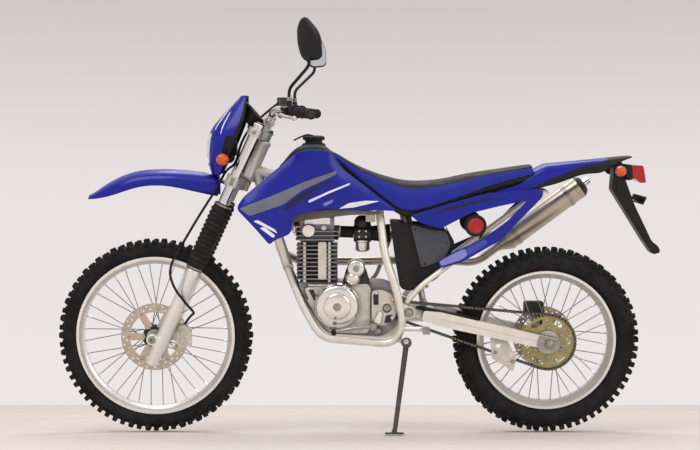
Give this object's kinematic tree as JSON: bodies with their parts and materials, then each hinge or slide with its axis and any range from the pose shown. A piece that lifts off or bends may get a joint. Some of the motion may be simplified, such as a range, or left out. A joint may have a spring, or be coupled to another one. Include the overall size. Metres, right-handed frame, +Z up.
{
  "type": "trail motorcycle",
  "caption": "Single-cylinder trail motorcycle with motocross bodywork, wire wheels and knobbly tyres, parked leaning on its side stand.",
  "frame": {"origin": "on the floor, under the middle of the parked bike's bounding box", "axes": "+X forward, towards the front wheel; +Y to the rider's left, the side it leans to; +Z up"},
  "size_m": [2.153, 0.8654, 1.4983],
  "materials": {
    "tyre": "matte",
    "rim": "satin",
    "disc": "brushed",
    "sprocket": "anodised",
    "slider": "satin",
    "tube": "polished",
    "rubber": "matte",
    "clamp": "cast",
    "bar": "satin",
    "mirror": "matte",
    "blue": "gloss",
    "lens": "clear",
    "amber": "clear",
    "black": "matte",
    "frame_paint": "satin",
    "engine": "cast",
    "exhaust": "polished",
    "grey": "satin",
    "vinyl": "matte",
    "red": "clear",
    "spring": "satin",
    "chain": "oiled",
    "steel": "satin"
  },
  "bodies": {
    "front_wheel": {"front_tyre": "tyre", "front_rim": "rim", "front_hub": "rim", "front_disc": "disc"},
    "rear_wheel": {"rear_tyre": "tyre", "rear_rim": "rim", "rear_hub": "rim", "rear_disc": "disc", "rear_sprocket": "sprocket"},
    "steering": {"fork_sliders": "slider", "fork_tubes": "tube", "fork_boots": "rubber", "triple_clamps": "clamp", "handlebar": "bar", "hand_controls": "rubber", "mirrors": "mirror", "headlight_cowl": "blue", "headlight": "lens", "front_indicators": "amber", "instruments": "black", "front_fender": "blue", "front_axle": "tube", "front_caliper": "clamp", "front_brake_hose": "rubber"},
    "side_stand": {"side_stand": "steel"},
    "frame": {"main_frame": "frame_paint", "subframe": "frame_paint", "crankcase": "engine", "cylinder": "engine", "cylinder_head": "engine", "carburettor": "clamp", "exhaust_header": "exhaust", "muffler": "exhaust", "airbox": "black", "side_covers": "grey", "fuel_tank": "black", "shrouds": "blue", "seat": "vinyl", "side_panels": "blue", "rear_fender": "blue", "plate_bracket": "black", "tail_lamp": "red", "rear_indicators": "amber", "side_reflectors": "red", "swingarm": "frame_paint", "rear_axle": "tube", "shock": "spring", "chain": "chain", "chain_guide": "black", "rear_caliper": "clamp", "foot_controls": "rubber"}
  },
  "joints": [
    {"name": "rear_wheel_spin", "type": "hinge", "parent": "frame", "child": "rear_wheel", "pos_m": [-0.6725, -0.14827, 0.33388], "axis": [0, 0.9863, -0.165], "continuous": true},
    {"name": "steering_turn", "type": "hinge", "parent": "frame", "child": "steering", "pos_m": [0.41572, -0.05915, 0.86645], "axis": [-0.4147, 0.1502, 0.8975], "range_deg": [-40, 40]},
    {"name": "front_wheel_spin", "type": "hinge", "parent": "steering", "child": "front_wheel", "pos_m": [0.7275, -0.14579, 0.34867], "axis": [0, 0.9863, -0.165], "continuous": true},
    {"name": "side_stand_fold", "type": "hinge", "parent": "frame", "child": "side_stand", "pos_m": [-0.1685, -0.02103, 0.31867], "axis": [0.1458, 0.9508, 0.2734], "range_deg": [0, 94.91]}
  ]
}
